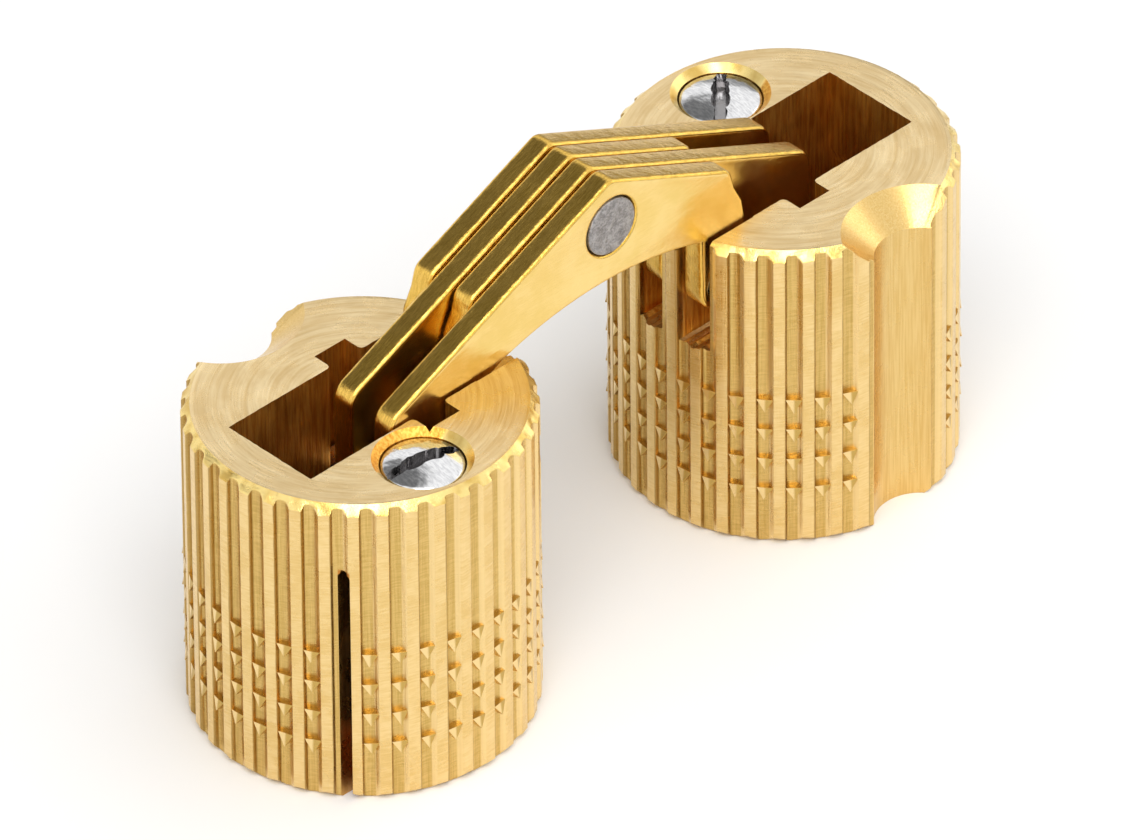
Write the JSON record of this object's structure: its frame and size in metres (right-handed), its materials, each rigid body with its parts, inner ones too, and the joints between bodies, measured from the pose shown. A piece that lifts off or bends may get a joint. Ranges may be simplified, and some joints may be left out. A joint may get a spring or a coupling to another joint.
{
  "type": "concealed cylinder hinge",
  "caption": "Concealed 180 degree cylinder hinge: two fluted brass barrels joined by crossed brass link plates on a centre rivet.",
  "frame": {"origin": "centre of the bounding box's bottom face, midway between the two barrels at the level of their flat bottoms", "axes": "+X from the left barrel to the right barrel with the hinge fully open, +Z out of the barrels' top faces, towards the links"},
  "size_m": [0.0636, 0.024, 0.0343],
  "materials": {
    "barrel_brass": "satin turned",
    "link_brass": "stamped, tumbled",
    "rivet_steel": "matt",
    "pin_steel": "ground",
    "screw_steel": "turned"
  },
  "bodies": {
    "left_barrel": {"left_barrel": "barrel_brass", "left_pivot_pin": "pin_steel"},
    "link_b": {"link_b_inner": "link_brass", "link_b_outer": "link_brass", "right_slide_pin": "pin_steel"},
    "link_a": {"link_a_outer": "link_brass", "link_a_inner": "link_brass", "centre_rivet": "rivet_steel", "left_slide_pin": "pin_steel"},
    "right_barrel": {"right_barrel": "barrel_brass", "right_pivot_pin": "pin_steel"},
    "left_screw": {"left_expansion_screw": "screw_steel"},
    "right_screw": {"right_expansion_screw": "screw_steel"}
  },
  "joints": [
    {"name": "left_fold", "type": "hinge", "parent": "left_barrel", "child": "link_b", "pos_m": [-0.01045, 0, 0.0203], "axis": [0, -1, 0], "range_deg": [0, 114.32]},
    {"name": "cross_pivot", "type": "hinge", "parent": "link_b", "child": "link_a", "pos_m": [0, 0, 0.03055], "axis": [0, -1, 0], "range_deg": [-48.66, 0]},
    {"name": "right_fold", "type": "hinge", "parent": "link_a", "child": "right_barrel", "pos_m": [0.01045, 0, 0.0203], "axis": [0, -1, 0], "range_deg": [0, 114.33]},
    {"name": "left_screw_turn", "type": "hinge", "parent": "left_barrel", "child": "left_screw", "pos_m": [-0.0212, -0.0075, 0.0246], "axis": [0, 0, -1], "range_deg": [0, 270]},
    {"name": "right_screw_turn", "type": "hinge", "parent": "right_barrel", "child": "right_screw", "pos_m": [0.0212, 0.0075, 0.0246], "axis": [0, 0, -1], "range_deg": [0, 270]}
  ],
  "couplings": [
    {"joint": "cross_pivot", "follows": "left_fold", "ratio": -0.42555},
    {"joint": "right_fold", "follows": "left_fold", "ratio": 1}
  ]
}
